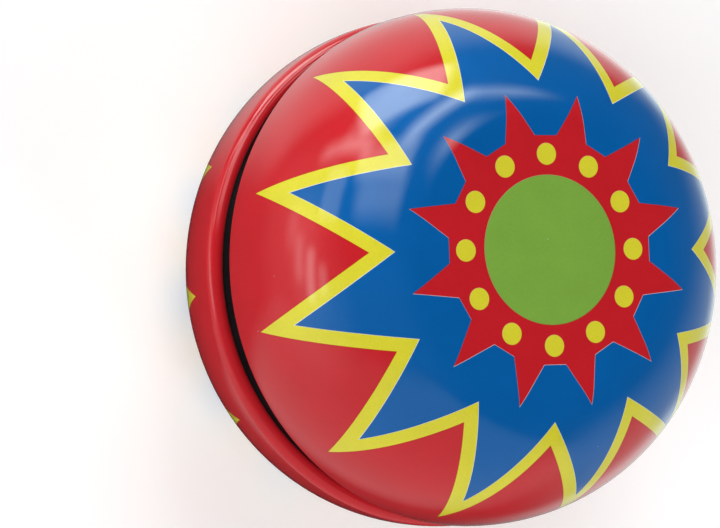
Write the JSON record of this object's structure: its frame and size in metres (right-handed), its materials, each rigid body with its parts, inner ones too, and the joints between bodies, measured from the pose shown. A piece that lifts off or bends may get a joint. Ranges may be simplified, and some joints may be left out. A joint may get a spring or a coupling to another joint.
{
  "type": "tin yo-yo",
  "caption": "Printed tin yo-yo: drawn domed shells curled over black moulded cores, joined by a steel pin with a free-turning string sleeve in the gap.",
  "frame": {"origin": "centre of the rear shell's flat, on the plane the toy lies on when it is laid on its face", "axes": "+Z along the axle from the rear face to the front face, +Y towards a dot of the front print, +X completes the right-handed set"},
  "size_m": [0.06, 0.06, 0.0455],
  "materials": {
    "printed_tin": "glossy lacquer over printed red, blue, yellow and green",
    "black_plastic": "satin moulded",
    "zinc_steel": "bright zinc plate",
    "brass": "turned, slightly dulled"
  },
  "bodies": {
    "yoyo": {"front_shell": "printed_tin", "rear_shell": "printed_tin", "front_core": "black_plastic", "rear_core": "black_plastic", "front_washer": "zinc_steel", "rear_washer": "zinc_steel", "front_push_nut": "zinc_steel", "rear_push_nut": "zinc_steel", "axle_pin": "zinc_steel", "axle_spacer": "zinc_steel"},
    "sleeve": {"string_sleeve": "brass"}
  },
  "joints": [
    {"name": "string_sleeve_spin", "type": "hinge", "parent": "yoyo", "child": "sleeve", "pos_m": [0, 0, 0.02275], "axis": [0, 0, 1], "continuous": true}
  ]
}
